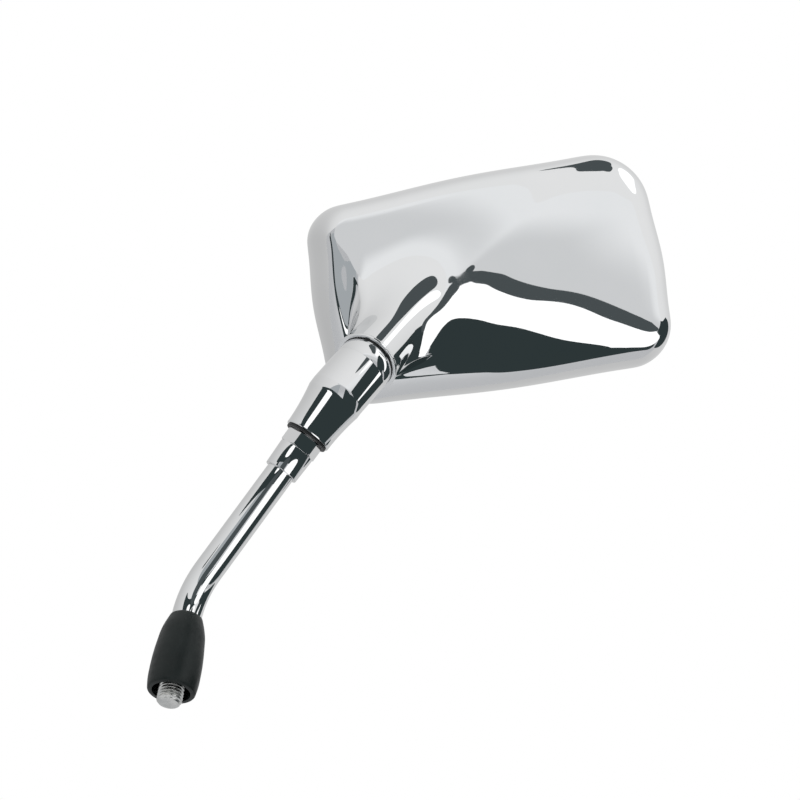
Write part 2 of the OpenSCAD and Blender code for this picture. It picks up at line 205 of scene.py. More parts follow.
def grain(tree, scale, detail=3.0):
    """Noise on the piece's own coordinates, in metres."""
    place = tree.nodes.new("ShaderNodeTexCoord")
    noise = tree.nodes.new("ShaderNodeTexNoise")
    noise.inputs["Scale"].default_value = scale
    noise.inputs["Detail"].default_value = detail
    noise.inputs["Roughness"].default_value = 0.55
    tree.links.new(place.outputs["Object"], noise.inputs["Vector"])
    return noise.outputs["Fac"]


def roughen(tree, shade, factor, low, high):
    """Spreads the middle of a noise over a range of roughness."""
    spread = tree.nodes.new("ShaderNodeMapRange")
    spread.inputs["From Min"].default_value = 0.35
    spread.inputs["From Max"].default_value = 0.65
    spread.inputs["To Min"].default_value = low
    spread.inputs["To Max"].default_value = high
    tree.links.new(factor, spread.inputs["Value"])
    tree.links.new(spread.outputs["Result"], shade.inputs["Roughness"])


def tint(tree, shade, factor, dark, light):
    """Colours a surface between two tones by a noise."""
    ramp = tree.nodes.new("ShaderNodeValToRGB")
    ramp.color_ramp.elements[0].position = 0.3
    ramp.color_ramp.elements[1].position = 0.7
    ramp.color_ramp.elements[0].color = (*dark, 1)
    ramp.color_ramp.elements[1].color = (*light, 1)
    tree.links.new(factor, ramp.inputs["Fac"])
    tree.links.new(ramp.outputs["Color"], shade.inputs["Base Color"])


def raise_grain(tree, shade, height, strength, depth):
    """Raises a noise by a depth in metres."""
    bump = tree.nodes.new("ShaderNodeBump")
    bump.inputs["Strength"].default_value = strength
    bump.inputs["Distance"].default_value = depth
    tree.links.new(height, bump.inputs["Height"])
    tree.links.new(bump.outputs["Normal"], shade.inputs["Normal"])


def chrome_plate():
    material, tree, shade = shader("chrome_plate")
    shade.inputs["Metallic"].default_value = 1.0
    tint(tree, shade, grain(tree, 35), (0.715, 0.725, 0.73), (0.735, 0.74, 0.745))
    roughen(tree, shade, grain(tree, 60, 4), 0.012, 0.03)
    raise_grain(tree, shade, grain(tree, 900, 2), 0.03, 0.00001)
    return material


def zinc_plate():
    material, tree, shade = shader("zinc_plate")
    shade.inputs["Metallic"].default_value = 1.0
    tint(tree, shade, grain(tree, 260, 5), (0.50, 0.51, 0.50), (0.70, 0.70, 0.68))
    roughen(tree, shade, grain(tree, 500, 4), 0.18, 0.38)
    raise_grain(tree, shade, grain(tree, 1800, 3), 0.2, 0.00004)
    return material


def boot_rubber():
    material, tree, shade = shader("boot_rubber")
    shade.inputs["Specular IOR Level"].default_value = 0.3
    tint(tree, shade, grain(tree, 120, 5), (0.0025, 0.0052, 0.005), (0.005, 0.009, 0.0085))
    roughen(tree, shade, grain(tree, 300, 4), 0.38, 0.5)
    raise_grain(tree, shade, grain(tree, 2600, 3), 0.25, 0.00005)
    return material


def seal_rubber():
    material, tree, shade = shader("seal_rubber")
    tint(tree, shade, grain(tree, 200, 4), (0.006, 0.007, 0.007), (0.012, 0.013, 0.013))
    roughen(tree, shade, grain(tree, 400, 3), 0.45, 0.62)
    raise_grain(tree, shade, grain(tree, 3000, 3), 0.25, 0.00004)
    return material


def mirror_face():
    material, tree, shade = shader("mirror_face")
    shade.inputs["Metallic"].default_value = 1.0
    tint(tree, shade, grain(tree, 12), (0.84, 0.87, 0.87), (0.87, 0.89, 0.89))
    roughen(tree, shade, grain(tree, 90, 4), 0.008, 0.02)
    shade.inputs["Coat Weight"].default_value = 0.4
    shade.inputs["Coat Roughness"].default_value = 0.02
    return material


def nylon():
    material, tree, shade = shader("nylon")
    tint(tree, shade, grain(tree, 180, 3), (0.70, 0.67, 0.57), (0.78, 0.75, 0.66))
    roughen(tree, shade, grain(tree, 700, 3), 0.35, 0.5)
    raise_grain(tree, shade, grain(tree, 2400, 2), 0.15, 0.00003)
    return material


def foam():
    material, tree, shade = shader("foam")
    tint(tree, shade, grain(tree, 900, 5), (0.008, 0.008, 0.008), (0.035, 0.035, 0.035))
    shade.inputs["Roughness"].default_value = 0.9
    raise_grain(tree, shade, grain(tree, 1500, 4), 0.6, 0.0003)
    return material


CHROME = chrome_plate()
ZINC = zinc_plate()
BOOT_RUBBER = boot_rubber()
SEAL_RUBBER = seal_rubber()
MIRROR = mirror_face()
NYLON = nylon()
FOAM = foam()


# Making and placing

def placed(bm, name, material):
    """An object of the scene from a finished mesh."""
    mesh = bpy.data.meshes.new(name)
    bm.to_mesh(mesh)
    bm.free()
    mesh.materials.append(material)
    made = bpy.data.objects.new(name, mesh)
    bpy.context.scene.collection.objects.link(made)
    return made


def subdivided(made, name, levels):
    smooth = made.modifiers.new(name, "SUBSURF")
    smooth.levels = smooth.render_levels = levels


def piece(bm, name, place, body, material, stands_for, smooth_angle=35.0, rounds=0):
    """Brings a mesh to its place, and makes it the object that stands for a CAD node."""
    bmesh.ops.remove_doubles(bm, verts=bm.verts, dist=MERGE)
    bmesh.ops.recalc_face_normals(bm, faces=bm.faces)
    bmesh.ops.transform(bm, matrix=Matrix.Scale(METRES, 4) @ place, verts=bm.verts)
    limit = math.radians(smooth_angle)
    for face in bm.faces:
        face.smooth = True
    for edge in bm.edges:
        if len(edge.link_faces) == 2 and edge.calc_face_angle(0.0) > limit:
            edge.smooth = False
    made = placed(bm, name, material)
    if rounds:
        subdivided(made, "rounds", rounds)
    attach(made, body)
    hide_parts(stands_for)


def rounded(corners):
    """Points of a closed profile from its corners (r, z, round)."""
    points = []
    steps = 4
    for i, (r, z, size) in enumerate(corners):
        here = Vector((r, z))
        before = Vector(corners[i - 1][:2]) - here
        after = Vector(corners[(i + 1) % len(corners)][:2]) - here
        if size <= 0:
            points.append(here)
            continue
        half = before.angle(after) / 2
        reach = min(size / math.tan(half), 0.48 * before.length, 0.48 * after.length)
        start = here + before.normalized() * reach
        end = here + after.normalized() * reach
        for k in range(steps + 1):
            f = k / steps
            points.append(start * (1 - f) ** 2 + here * 2 * f * (1 - f) + end * f * f)
    return points


def arc_points(r, start, end, steps):
    """Points of an arc round the middle, by their angles from the Z axis."""
    angles = [math.radians(start + (end - start) * k / steps) for k in range(steps + 1)]
    return [Vector((r * math.sin(a), r * math.cos(a))) for a in angles]


def spun(profile, closed, steps):
    """A line of points (r, z) spun once round the Z axis."""
    bm = bmesh.new()
    line = [bm.verts.new((r, 0, z)) for r, z in profile]
    edges = [bm.edges.new((line[i - 1], line[i])) for i in range(0 if closed else 1, len(line))]
    bmesh.ops.spin(bm, geom=line + edges, cent=(0, 0, 0), axis=(0, 0, 1), angle=2 * math.pi,
                   steps=steps, use_merge=True)
    return bm


def turned(profile, steps=128):
    """A closed profile made a ring, as on a lathe."""
    bm = spun(profile, True, steps)
    bmesh.ops.remove_doubles(bm, verts=bm.verts, dist=MERGE)
    return bm


def extruded(bm, line, edges, points):
    """Extrudes a line of vertices to new points, and gives the new vertices and all the new edges."""
    drawn = bmesh.ops.extrude_edge_only(bm, edges=edges)["geom"]
    fresh = {v for v in drawn if isinstance(v, bmesh.types.BMVert)}
    following = []
    for vert, point in zip(line, points):
        new = next(e.other_vert(vert) for e in vert.link_edges if e.other_vert(vert) in fresh)
        new.co = point
        following.append(new)
    along = [e for e in drawn if isinstance(e, bmesh.types.BMEdge)]
    return following, [e for e in along if e.verts[0] in fresh and e.verts[1] in fresh]


def drawn_out(rings, closed=True):
    """A loop of edges extruded from ring to ring, and back to the first one where closed."""
    bm = bmesh.new()
    ring = [bm.verts.new(p) for p in rings[0]]
    edges = [bm.edges.new((ring[i - 1], ring[i])) for i in range(len(ring))]
    for points in rings[1:] + ([rings[0]] if closed else []):
        ring, edges = extruded(bm, ring, edges, points)
    bmesh.ops.remove_doubles(bm, verts=bm.verts, dist=MERGE)
    return bm


def cut_off(bm, at, normal):
    """Cuts away what lies beyond a plane, on the side that its normal points to."""
    bmesh.ops.bisect_plane(bm, geom=bm.verts[:] + bm.edges[:] + bm.faces[:], plane_co=at, plane_no=normal,
                           clear_outer=True, dist=1e-5)


def close_holes(bm, most_sides):
    """Puts a face in each hole that has no more sides than that."""
    bmesh.ops.holes_fill(bm, edges=[e for e in bm.edges if e.is_boundary], sides=most_sides)


def take_in(bm, other):
    """Adds another mesh to this one."""
    carrier = bpy.data.meshes.new("carrier")
    other.to_mesh(carrier)
    other.free()
    bm.from_mesh(carrier)
    bpy.data.meshes.remove(carrier)


# Outline of the housing

CORNERS = [
    Vector((-CORNER_X - LEAN, TOP_Y - INNER_H)),
    Vector((TOP_W - CORNER_X - LEAN, TOP_Y - OUTER_H)),
    Vector((TOP_W - CORNER_X, TOP_Y)),
    Vector((-CORNER_X, TOP_Y))]
ARC_STEPS = 8
EDGE_STEPS = (18, 10, 18, 10)


def inwards(i):
    along = (CORNERS[(i + 1) % 4] - CORNERS[i]).normalized()
    return Vector((-along.y, along.x))


def corner_arc(i, d):
    """One rounded corner of the outline, moved inwards by d."""
    a, b = inwards((i + 3) % 4), inwards(i)
    r = max(CORNER_RADII[i] - CORNER_SHRINK * d, CORNER_LEAST)
    centre = CORNERS[i] + (a + b) / (1 + a.dot(b)) * (d + r)
    start = math.atan2(-a.y, -a.x)
    sweep = (math.atan2(-b.y, -b.x) - start) % (2 * math.pi)
    angles = [start + sweep * k / ARC_STEPS for k in range(ARC_STEPS + 1)]
    return [centre + r * Vector((math.cos(t), math.sin(t))) for t in angles]


def outline(d):
    """The housing's outline, moved inwards by d."""
    points = []
    for i in range(4):
        here, after = corner_arc(i, d), corner_arc((i + 1) % 4, d)
        points += here
        start, end = here[-1], after[0]
        for k in range(1, EDGE_STEPS[i]):
            f = k / EDGE_STEPS[i]
            points.append(start.lerp(end, f) - inwards(i) * EDGE_BOW * math.sin(math.pi * f) ** 2)
    return points


def level(points, z):
    return [Vector((p.x, p.y, z)) for p in points]


# Housing

def direction(dip, azimuth):
    """A unit vector that points down by one angle and round by another."""
    dip, azimuth = math.radians(dip), math.radians(azimuth)
    return Vector((math.cos(dip) * math.cos(azimuth), math.cos(dip) * math.sin(azimuth), -math.sin(dip)))


NECK_DIR = direction(NECK_DIP, NECK_TURN)
NECK_SIDE = Vector((math.sin(math.radians(NECK_TURN)), -math.cos(math.radians(NECK_TURN)), 0))
NECK_BACK = NECK_SIDE.cross(NECK_DIR)


def neck_point(y, r, angle):
    """A point round the neck's axis, at a distance along it from the ball's centre."""
    return NECK_DIR * y + r * (math.cos(angle) * NECK_BACK + math.sin(angle) * NECK_SIDE)


def neck_angles():
    """Where round the neck each point of the shoulder is."""
    shoulder = level(outline(EDGE_INSET), RIM_Z + SHOULDER)
    return [math.atan2(p.dot(NECK_SIDE), p.dot(NECK_BACK)) for p in shoulder]


def toward(low, high, reach):
    return low + (high - low).normalized() * reach


def shell_rings(d, r):
    """Control rings of the shell's wall, from its rim to its neck.

    The neck's straight line would meet the back at a corner; the rings cut that corner off.
    """
    back_z = RIM_Z + SHOULDER - d
    lines = []
    for p, a in zip(outline(d + EDGE_INSET), neck_angles()):
        near = ((1 - math.cos(a)) / 2) ** 2
        shoulder = Vector((p.x, p.y, back_z - NEAR_DROP * near))
        end = neck_point(NECK_Y, r, a)
        t = (end.z - back_z) / -NECK_DIR.z - NECK_MIN
        run = NECK_MIN + t / 2 + math.sqrt(t * t / 4 + NECK_EASE)
        corner = end + NECK_DIR * run
        span = (corner - shoulder).length
        up, out = min(NECK_BLEND, 0.85 * run), min(NECK_BLEND, 0.45 * span)
        edge = EDGE_REACH * span / (span + 2 * EDGE_REACH)
        line = [shoulder]
        for f in range(3):
            x = edge + (span - out - edge) * f / 2
            line.append(toward(shoulder, corner, x) + Vector((0, 0, x * (span - x) / (2 * DOME_R))))
        pulled = BLEND_PULL * (toward(corner, shoulder, out) - corner)
        line.append(corner + pulled - BLEND_PULL * up * NECK_DIR)
        line.append(corner - NECK_DIR * up)
        line.append(corner - NECK_DIR * (up + run) / 2)
        line.append(end)
        lines.append(line)
    side = [(d, 0), (d + 0.1, 6), (d + 0.8, 12.5)]
    return [level(outline(inset), RIM_Z + up) for inset, up in side] + [list(ring) for ring in zip(*lines)]


def housing():
    """The shell: outside up to the lip, round the lip, and back down the inside."""
    angles = neck_angles()
    lip = [(LIP_TOP + 0.3, NECK_R), (LIP_TOP, NECK_R + 0.05), (LIP_TOP - 0.05, NECK_R + 0.3),
           (LIP_TOP - 0.1, LIP_R - 0.3), (LIP_TOP - 0.4, LIP_R - 0.02), (LIP_TOP - 0.8, LIP_R),
           (FACE_Y + 0.5, LIP_R), (FACE_Y + 0.15, LIP_R - 0.05), (FACE_Y, LIP_R - 0.3), (FACE_Y, LIP_R - 1.0),
           (FACE_Y, NECK_BORE + 0.3), (FACE_Y + 0.3, NECK_BORE)]
    outer = shell_rings(0, NECK_R)
    inner = shell_rings(WALL, NECK_BORE)
    rings = [level(outline(0.3), RIM_Z), level(outline(0), RIM_Z + 0.3), level(outline(0), RIM_Z + 3)]
    rings += outer[1:]
    rings += [[neck_point(y, r, a) for a in angles] for y, r in lip]
    rings += inner[::-1][:-1]
    rings += [level(outline(WALL), RIM_Z + 0.3), level(outline(WALL - 0.3), RIM_Z)]
    piece(drawn_out(rings), "housing", HEAD, "head", CHROME, "housing_shell",
          smooth_angle=180, rounds=2)


# Glass and its rim

def glass_z(p, depth):
    """Height of the glass's curve at p, measured at that depth behind its front."""
    far = (Vector((p[0], p[1])) - (CORNERS[1] + CORNERS[3]) / 2).length
    return RIM_Z + GLASS_FRONT + GLASS_R - math.sqrt((GLASS_R - depth) ** 2 - far * far)


def curved(points, depth, up=0.0):
    """Points laid on the glass's curve, or a little off it."""
    return [Vector((p.x, p.y, glass_z(p, depth) + up)) for p in points]


def glass():
    """A curved sheet, ground round its edge."""
    middle = (CORNERS[1] + CORNERS[3]) / 2

    def ring(inset, share, depth):
        return curved([middle.lerp(p, share) for p in outline(GLASS_IN + inset)], depth)

    shares = (0.0, 0.12, 0.25, 0.4, 0.55, 0.7, 0.85, 0.95, 1)
    ground = 0.3 * GLASS_BEVEL
    rings = [ring(GLASS_BEVEL, s, 0) for s in shares]
    rings += [ring(ground, 1, ground), ring(0, 1, GLASS_BEVEL)]
    rings += [ring(0, 1, GLASS - GLASS_BEVEL), ring(ground, 1, GLASS - ground)]
    rings += [ring(GLASS_BEVEL, s, GLASS) for s in shares[::-1]]
    piece(drawn_out(rings, closed=False), "glass", HEAD, "head", MIRROR, "mirror_glass")


def glass_rim():
    """The rubber rim, with the groove that the glass sits in."""
    inner = RIM_IN + RIM_W
    groove = outline(GLASS_IN - LAY_GAP)
    top = RIM_Z + RIM_H
    crest = outline(inner - 1.0)
    rings = [level(outline(RIM_IN), RIM_Z + 0.8), level(outline(RIM_IN + 0.25), RIM_Z + 0.25),
             level(outline(RIM_IN + 0.8), RIM_Z)]
    rings += [[a.lerp(b, 0.5) for a, b in zip(level(crest, RIM_Z), curved(crest, 0, -0.45))]]
    rings += [curved(outline(inner - 0.35), 0, -0.4), curved(outline(inner), 0, -0.12)]
    rings += [curved(groove, 0, -0.12), curved(groove, GLASS, 0.12), curved(outline(inner), GLASS, 0.12)]
    rings += [level(outline(inner), top - 0.4), level(outline(inner - 0.4), top),
              level(outline(RIM_IN + 0.4), top), level(outline(RIM_IN), top - 0.4)]
    piece(drawn_out(rings), "glass_rubber", HEAD, "head", SEAL_RUBBER, "glass_rim")


# Neck

def neck_gasket():
    profile = rounded([(NECK_BORE, GASKET_Y, 0.1), (ARM_R, GASKET_Y, 0.2), (ARM_R, FACE_Y, 0.2),
                       (NECK_BORE, FACE_Y, 0.1)])
    piece(turned(profile, 96), "neck_ring", NECK, "head", SEAL_RUBBER, "neck_gasket")


def neck_collar():
    """A ball on the outside, a spigot up the neck, and the socket inside."""
    spigot_top = FACE_Y + SPIGOT
    ball_edge = math.degrees(math.acos(GASKET_Y / ARM_R))
    profile = arc_points(ARM_R, SOCKET_EDGE, ball_edge, 28)
    profile += rounded([(SPIGOT_R, GASKET_Y, 0), (SPIGOT_R, spigot_top, 0.4), (SOCKET_R, spigot_top, 0.2)])
    profile += arc_points(SOCKET_R, 90, SOCKET_EDGE, 16)
    piece(turned(profile), "collar", NECK, "head", CHROME, "neck_collar")


# Arm

def leg_line():
    """Half section of the leg, from its foot up past the mitre."""
    line = [Vector((HELD_BORE, -ARM_LEG)), Vector((FOOT_R - 0.4, -ARM_LEG)),
            Vector((FOOT_R - 0.12, -ARM_LEG + 0.12)), Vector((FOOT_R, -ARM_LEG + 0.4))]
    steps = 24
    for k in range(1, steps + 1):
        r = FOOT_R + (ARM_R - FOOT_R) * (k / steps) ** ARM_FLARE
        line.append(Vector((r, -ARM_LEG + ARM_LEG * ARM_TAPER * k / steps)))
    return line + [Vector((ARM_R, ARM_R))]


def stub_line():
    """Half section of the stub, from below the mitre round its mouth and into its cup."""
    mouth = ARM_STUB - MOUTH_DROP
    cup_edge = math.sqrt(CUP_R ** 2 - MOUTH_DROP ** 2)
    low = math.degrees(math.asin(BALL_SHANK_R / CUP_R))
    high = 180 - math.degrees(math.asin(cup_edge / CUP_R))
    cup = [Vector((p.x, ARM_STUB + p.y)) for p in arc_points(CUP_R, high, 180 - low, 14)]
    line = [Vector((ARM_R, -ARM_R)), Vector((ARM_R, mouth - 0.15)), Vector((ARM_R - 0.12, mouth)),
            Vector((cup_edge, mouth))]
    return line + cup[1:] + [Vector((BALL_SHANK_R, -1.0))]


def arm():
    """Leg and stub, each turned and cut at the mitre, then joined, with their open ends closed."""
    mitre = turn(ELBOW / 2, "Y").to_3x3() @ Vector((0, 0, 1))
    leg, stub = spun(leg_line(), False, 128), spun(stub_line(), False, 128)
    bmesh.ops.transform(stub, matrix=turn(ELBOW, "Y"), verts=stub.verts)
    joined = bmesh.new()
    for half, side in ((leg, mitre), (stub, -mitre)):
        cut_off(half, (0, 0, 0), side)
        take_in(joined, half)
    bmesh.ops.remove_doubles(joined, verts=joined.verts, dist=0.01)
    close_holes(joined, 400)
    bmesh.ops.recalc_face_normals(joined, faces=joined.faces)
    crease = [e for e in joined.edges
              if all(abs(v.co.dot(mitre)) < 1e-3 and v.co.length > ARM_R - 1 for v in e.verts)]
    bmesh.ops.bevel(joined, geom=crease, offset=MITRE_ROUND, offset_type="OFFSET", segments=3, profile=0.5,
                    affect="EDGES", material=-1)
    piece(joined, "arm", ELBOW_AT, "arm", CHROME, "arm_elbow", smooth_angle=30)


def arm_seal():
    profile = rounded([(HELD_BORE, NUT_TOP, 0.1), (SEAL_R, NUT_TOP, 0.3), (SEAL_R, NUT_TOP + SEAL, 0.3),
                       (HELD_BORE, NUT_TOP + SEAL, 0.1)])
    piece(turned(profile, 96), "arm_washer", STEM, "stem", SEAL_RUBBER, "arm_seal")


# Stem, nuts and studs

def hex_nut(height):
    """A hexagon with both faces turned off at a slope, and a bored and chamfered hole."""
    corner = NUT_FLATS / math.sqrt(3)
    bm = bmesh.new()
    bmesh.ops.create_cone(bm, cap_ends=True, segments=6, radius1=corner, radius2=corner, depth=height,
                          matrix=shift(z=height / 2) @ turn(30, "Z"))
    slope = math.radians(90 - NUT_SLOPE)
    cuts = 72
    for k in range(cuts):
        around = math.radians(360 / cuts * k)
        x, y = math.cos(around), math.sin(around)
        for z, up in ((height, 1), (0, -1)):
            normal = Vector((x * math.cos(slope), y * math.cos(slope), up * math.sin(slope)))
            cut_off(bm, Vector((x * NUT_FLATS / 2, y * NUT_FLATS / 2, z)), normal)
            close_holes(bm, 200)
    faces = sorted(bm.faces, key=lambda f: f.calc_center_median().z)
    faces = [faces[0], faces[-1]]
    for face in faces:
        bmesh.ops.inset_region(bm, faces=[face], thickness=NUT_FLATS / 2 - HELD_BORE - NUT_MOUTH,
                               use_even_offset=True)
        bmesh.ops.inset_region(bm, faces=[face], thickness=NUT_MOUTH, depth=-NUT_MOUTH, use_even_offset=True)
    mouths = [edge for face in faces for edge in face.edges]
    bmesh.ops.delete(bm, geom=faces, context="FACES_ONLY")
    bmesh.ops.bridge_loops(bm, edges=mouths)
    return bm


def arm_lock_nut():
    piece(hex_nut(ARM_NUT), "arm_nut", STEM @ shift(z=NUT_LOW), "stem", CHROME, "arm_lock_nut",
          smooth_angle=20)


def stem_sleeve():
    low = NUT_LOW - SLEEVE
    profile = rounded([(STEM_R, low, 0.1), (SLEEVE_LOW_R, low, 0.35), (SLEEVE_TOP_R, NUT_LOW, 0.15),
                       (HELD_BORE, NUT_LOW, 0.05), (HELD_BORE, TUBE_TOP, 0), (STEM_R, TUBE_TOP, 0)])
    piece(turned(profile), "sleeve", STEM, "stem", CHROME, "stem_sleeve")


def stem():
    """The tube, drawn along its bent line and turned in at both ends."""
    cut = BEND_R * math.tan(math.radians(BEND / 2))

    def section(place, r):
        angles = [2 * math.pi * k / 96 for k in range(96)]
        return [place @ Vector((r * math.cos(a), r * math.sin(a), 0)) for a in angles]

    steps = 24
    places = [shift(z=TUBE_LOW + 0.3)]
    for k in range(steps + 1):
        lean = BEND * k / steps
        places.append(shift(z=BEND_Z - cut) @ shift(x=BEND_R) @ turn(lean, "Y") @ shift(x=-BEND_R))
    places.append(STEM @ shift(z=TUBE_TOP - 0.2))
    foot, top = shift(z=TUBE_LOW), STEM @ shift(z=TUBE_TOP)
    rings = [section(foot, STEM_BORE), section(foot, STEM_R - 0.3),
             section(shift(z=TUBE_LOW + 0.08), STEM_R - 0.08)]
    rings += [section(p, STEM_R) for p in places]
    rings += [section(top, STEM_R - 0.2), section(top, STEM_BORE)]
    rings += [section(p, STEM_BORE) for p in places[-2:0:-4]]
    piece(drawn_out(rings), "stem_tube", SEAT, "stem", CHROME, "stem")


def mounting_stud():
    """The stud with its thread: one tooth of it screwed up the shank, cut flat and chamfered."""
    root, crest = THREAD_R - THREAD_DEPTH, THREAD_R - 0.04
    pitch = THREAD_PITCH
    tooth = [(root, 0), (root, 0.16 * pitch), (crest, 0.44 * pitch), (THREAD_R, 0.5 * pitch),
             (crest, 0.56 * pitch), (root, 0.84 * pitch), (root, pitch)]
    steps = 64
    low = STUD_LOW - 1.5 * pitch
    bm = bmesh.new()
    line = [bm.verts.new((r, 0, low + z)) for r, z in tooth]
    edges = [bm.edges.new((line[i - 1], line[i])) for i in range(1, len(line))]
    bmesh.ops.spin(bm, geom=line + edges, cent=(0, 0, 0), axis=(0, 0, 1), dvec=(0, 0, pitch / steps),
                   angle=2 * math.pi * THREAD_TURNS, steps=steps * THREAD_TURNS, use_merge=False)
    bmesh.ops.remove_doubles(bm, verts=bm.verts, dist=1e-3)
    for z, up in ((STUD_LOW, -1), (TUBE_LOW, 1)):
        cut_off(bm, (0, 0, z), (0, 0, up))
    for vert in bm.verts:
        reach = math.hypot(vert.co.x, vert.co.y)
        most = THREAD_R - THREAD_CHAMFER + (vert.co.z - STUD_LOW)
        if reach > most:
            vert.co.x *= most / reach
            vert.co.y *= most / reach
    close_holes(bm, 800)
    shank_top = TUBE_LOW + SHANK
    take_in(bm, turned(rounded([(0, TUBE_LOW, 0), (STEM_BORE, TUBE_LOW, 0), (STEM_BORE, shank_top, 0.4),
                                (0, shank_top, 0)]), 64))
    piece(bm, "lower_stud", SEAT, "stem", ZINC, "mounting_stud", smooth_angle=28)


# Boot

def boot_radius(x):
    """Outer radius at a distance below the boot's top."""
    if x < BOOT_SHOULDER:
        swell = math.sin(math.radians(BOOT_SWELL * x / BOOT_SHOULDER)) / math.sin(math.radians(BOOT_SWELL))
        return BOOT_LIP_R + (BOOT_SHOULDER_R - BOOT_LIP_R) * swell
    swell = math.sin(math.radians(90 * min((x - BOOT_SHOULDER) / BOOT_FULL, 1)))
    tuck = BOOT_TUCK * (max(x - BOOT_LEN + BOOT_TUCK_LEN, 0) / BOOT_TUCK_LEN) ** 2
    return BOOT_SHOULDER_R + (BOOT_R - BOOT_SHOULDER_R) * swell - tuck


def rubber_boot():
    """The boot's outside down to its mouth, and its cave back up to where it grips the tube."""
    mouth = BOOT_TOP - BOOT_LEN
    mouth_r = boot_radius(BOOT_LEN)
    cave = BOOT_R - BOOT_WALL
    grip_low = BOOT_TOP - BOOT_GRIP
    profile = [(STEM_R + 0.05, BOOT_TOP - 0.2), (STEM_R + 0.2, BOOT_TOP)]
    steps = 40
    for k in range(steps + 1):
        x = 0.3 + (BOOT_LEN - 0.8) * k / steps
        profile.append((boot_radius(x), BOOT_TOP - x))
    profile += [(mouth_r - 0.15, mouth + 0.15), (mouth_r - 0.5, mouth), (cave - 0.9, mouth),
                (cave - 0.85, mouth + 0.3), (cave - 0.5, mouth + 1.5), (cave, mouth + 5),
                (cave, TUBE_LOW + 0.5), (STEM_R + 0.6, grip_low - 0.6), (STEM_R + 0.05, grip_low)]
    piece(turned(profile), "boot", SEAT, "boot", BOOT_RUBBER, "rubber_boot")


housing()
glass()
glass_rim()
neck_gasket()
neck_collar()
arm()
arm_seal()
arm_lock_nut()
stem_sleeve()
stem()
mounting_stud()
rubber_boot()

# Inner pieces keep their CAD shape.
INNER = {
    "ball_liner": NYLON, "cap_liner": NYLON, "pressure_cup": ZINC, "disc_springs": ZINC,
    "retainer_ring": ZINC, "ball_stud": ZINC, "arm_stud": ZINC, "lower_lock_nut": ZINC, "backing_pad": FOAM}
for node, material in INNER.items():
    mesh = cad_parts[node].data
    mesh.materials.clear()
    mesh.materials.append(material)


# Camera and studio

def camera():
    """The camera at the photo's viewing angle."""
    data = bpy.data.cameras.new("camera")
    data.lens = LENS
    data.sensor_width = SENSOR
    data.clip_start, data.clip_end = 0.05, 20.0
    seen = bpy.data.objects.new("camera", data)
    back = CAMERA_RIGHT.cross(CAMERA_UP).normalized()
    up = back.cross(CAMERA_RIGHT).normalized()
    right = up.cross(back).normalized()
    seen.matrix_world = shift(*CAMERA_AT) @ Matrix((right, up, back)).transposed().to_4x4()
    bpy.context.scene.collection.objects.link(seen)
    bpy.context.scene.camera = seen


def key_lamp():
    """A square lamp, which reflections don't show."""
    data = bpy.data.lights.new("key", "AREA")
    data.shape = "SQUARE"
    data.size = KEY_SIZE
    data.energy = KEY_POWER
    made = bpy.data.objects.new("key", data)
    made.location = KEY_AT
    made.rotation_mode = "QUATERNION"
    made.rotation_quaternion = (KEY_AIM - KEY_AT).to_track_quat("-Z", "Y")
    made.visible_glossy = False
    bpy.context.scene.collection.objects.link(made)


def studio():
    """A plain soft light, white for the camera and through glass, and a grey room for reflections."""
    world = bpy.data.worlds.new("studio")
    bpy.context.scene.world = world
    world.use_nodes = True
    nodes, links = world.node_tree.nodes, world.node_tree.links
    path = nodes.new("ShaderNodeLightPath")
    seen = path.outputs["Is Camera Ray"]
    for kind in ("Is Glossy Ray", "Is Transmission Ray"):
        either = nodes.new("ShaderNodeMath")
        either.operation = "MAXIMUM"
        links.new(seen, either.inputs[0])
        links.new(path.outputs[kind], either.inputs[1])
        seen = either.outputs["Value"]
    mix = nodes.new("ShaderNodeMix")
    mix.data_type = "RGBA"
    mix.inputs["A"].default_value = SOFT_LIGHT
    mix.inputs["B"].default_value = WHITE
    links.new(seen, mix.inputs["Factor"])
    # Glossy rays get a grey room in place of the white, brightest in the direction of its slope.
    way = nodes.new("ShaderNodeTexCoord")
    slant = nodes.new("ShaderNodeVectorMath")
    slant.operation = "DOT_PRODUCT"
    slant.inputs[1].default_value = ROOM_SLOPE
    links.new(way.outputs["Generated"], slant.inputs[0])
    room = nodes.new("ShaderNodeMath")
    room.operation = "ADD"
    room.inputs[1].default_value = ROOM_TONE
    links.new(slant.outputs["Value"], room.inputs[0])
    shown = nodes.new("ShaderNodeMix")
    shown.data_type = "RGBA"
    links.new(path.outputs["Is Glossy Ray"], shown.inputs["Factor"])
    links.new(mix.outputs["Result"], shown.inputs["A"])
    links.new(room.outputs["Value"], shown.inputs["B"])
    links.new(shown.outputs["Result"], nodes["Background"].inputs["Color"])


def paint(name, tone):
    """The plain glow of a card that paints a light or dark reflection into the chrome and glass; it lights
    nothing.
    """
    material = bpy.data.materials.new(name)
    material.use_nodes = True
    tree = material.node_tree
    tree.nodes.remove(tree.nodes["Principled BSDF"])
    glow = tree.nodes.new("ShaderNodeEmission")
    glow.inputs["Color"].default_value = (*tone, 1)
    tree.links.new(glow.outputs["Emission"], tree.nodes["Material Output"].inputs["Surface"])
    return material


